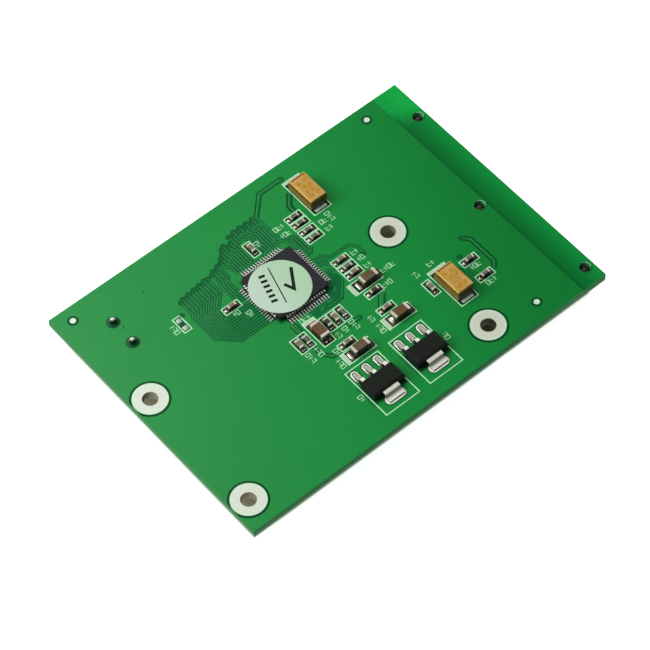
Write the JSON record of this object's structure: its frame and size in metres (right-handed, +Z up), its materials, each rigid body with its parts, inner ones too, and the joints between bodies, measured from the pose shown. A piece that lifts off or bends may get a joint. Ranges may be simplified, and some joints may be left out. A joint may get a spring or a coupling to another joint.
{
  "type": "sata adapter board",
  "caption": "Flat green circuit board with a bridge chip and small parts on top, a serial drive plug along one short edge underneath and a ribbon socket along a long edge.",
  "frame": {"origin": "centre of the board's outline, level with the lowest point of the plug underneath", "axes": "+X along the board towards the plug's mating face, +Y towards the ribbon socket's mouth, +Z up out of the component side"},
  "size_m": [0.072, 0.051, 0.0086],
  "materials": {
    "solder_mask": "glossy green lacquer over copper tracks",
    "tinned_land": "matt tin",
    "chip_case": "fine matt moulding",
    "tinned_lead": "satin tin plate",
    "sticker_paper": "satin",
    "regulator_case": "satin moulding",
    "tantalum_resin": "satin moulding",
    "capacitor_ceramic": "satin ceramic with tinned ends",
    "resistor_coat": "glass coat with tinned ends",
    "ferrite_ceramic": "matt ceramic with tinned ends",
    "plug_moulding": "satin moulding",
    "plated_contact": "polished gold plate",
    "socket_moulding": "satin moulding",
    "crystal_steel": "drawn and satin",
    "solder": "bright solder"
  },
  "bodies": {
    "root": {"circuit_board": "solder_mask", "mounting_hole_linings": "tinned_land", "bridge_chip_body": "chip_case", "bridge_chip_leads": "tinned_lead", "inspection_sticker": "sticker_paper", "left_regulator_body": "regulator_case", "left_regulator_terminals": "tinned_lead", "right_regulator_body": "regulator_case", "right_regulator_terminals": "tinned_lead", "upper_tantalum_body": "tantalum_resin", "upper_tantalum_terminals": "tinned_lead", "lower_tantalum_body": "tantalum_resin", "lower_tantalum_terminals": "tinned_lead", "bulk_capacitor_1": "capacitor_ceramic", "bulk_capacitor_2": "capacitor_ceramic", "bulk_capacitor_3": "capacitor_ceramic", "bulk_capacitor_4": "capacitor_ceramic", "small_capacitor_1": "capacitor_ceramic", "small_capacitor_2": "capacitor_ceramic", "small_capacitor_3": "capacitor_ceramic", "small_capacitor_4": "capacitor_ceramic", "small_capacitor_5": "capacitor_ceramic", "small_capacitor_6": "capacitor_ceramic", "small_capacitor_7": "capacitor_ceramic", "small_capacitor_8": "capacitor_ceramic", "small_capacitor_9": "capacitor_ceramic", "resistor_1": "resistor_coat", "resistor_2": "resistor_coat", "resistor_3": "resistor_coat", "resistor_4": "resistor_coat", "resistor_5": "resistor_coat", "resistor_6": "resistor_coat", "resistor_7": "resistor_coat", "ferrite_bead_1": "ferrite_ceramic", "ferrite_bead_2": "ferrite_ceramic", "ferrite_bead_3": "ferrite_ceramic", "ferrite_bead_4": "ferrite_ceramic", "sata_plug_housing": "plug_moulding", "sata_signal_contacts": "plated_contact", "sata_power_contacts": "plated_contact", "sata_plug_anchors": "tinned_lead", "ribbon_socket_housing": "socket_moulding", "ribbon_socket_contacts": "plated_contact", "ribbon_socket_anchors": "tinned_lead", "crystal_can": "crystal_steel", "crystal_header": "crystal_steel", "crystal_leads": "tinned_lead", "crystal_solder_joints": "solder"}
  },
  "joints": []
}
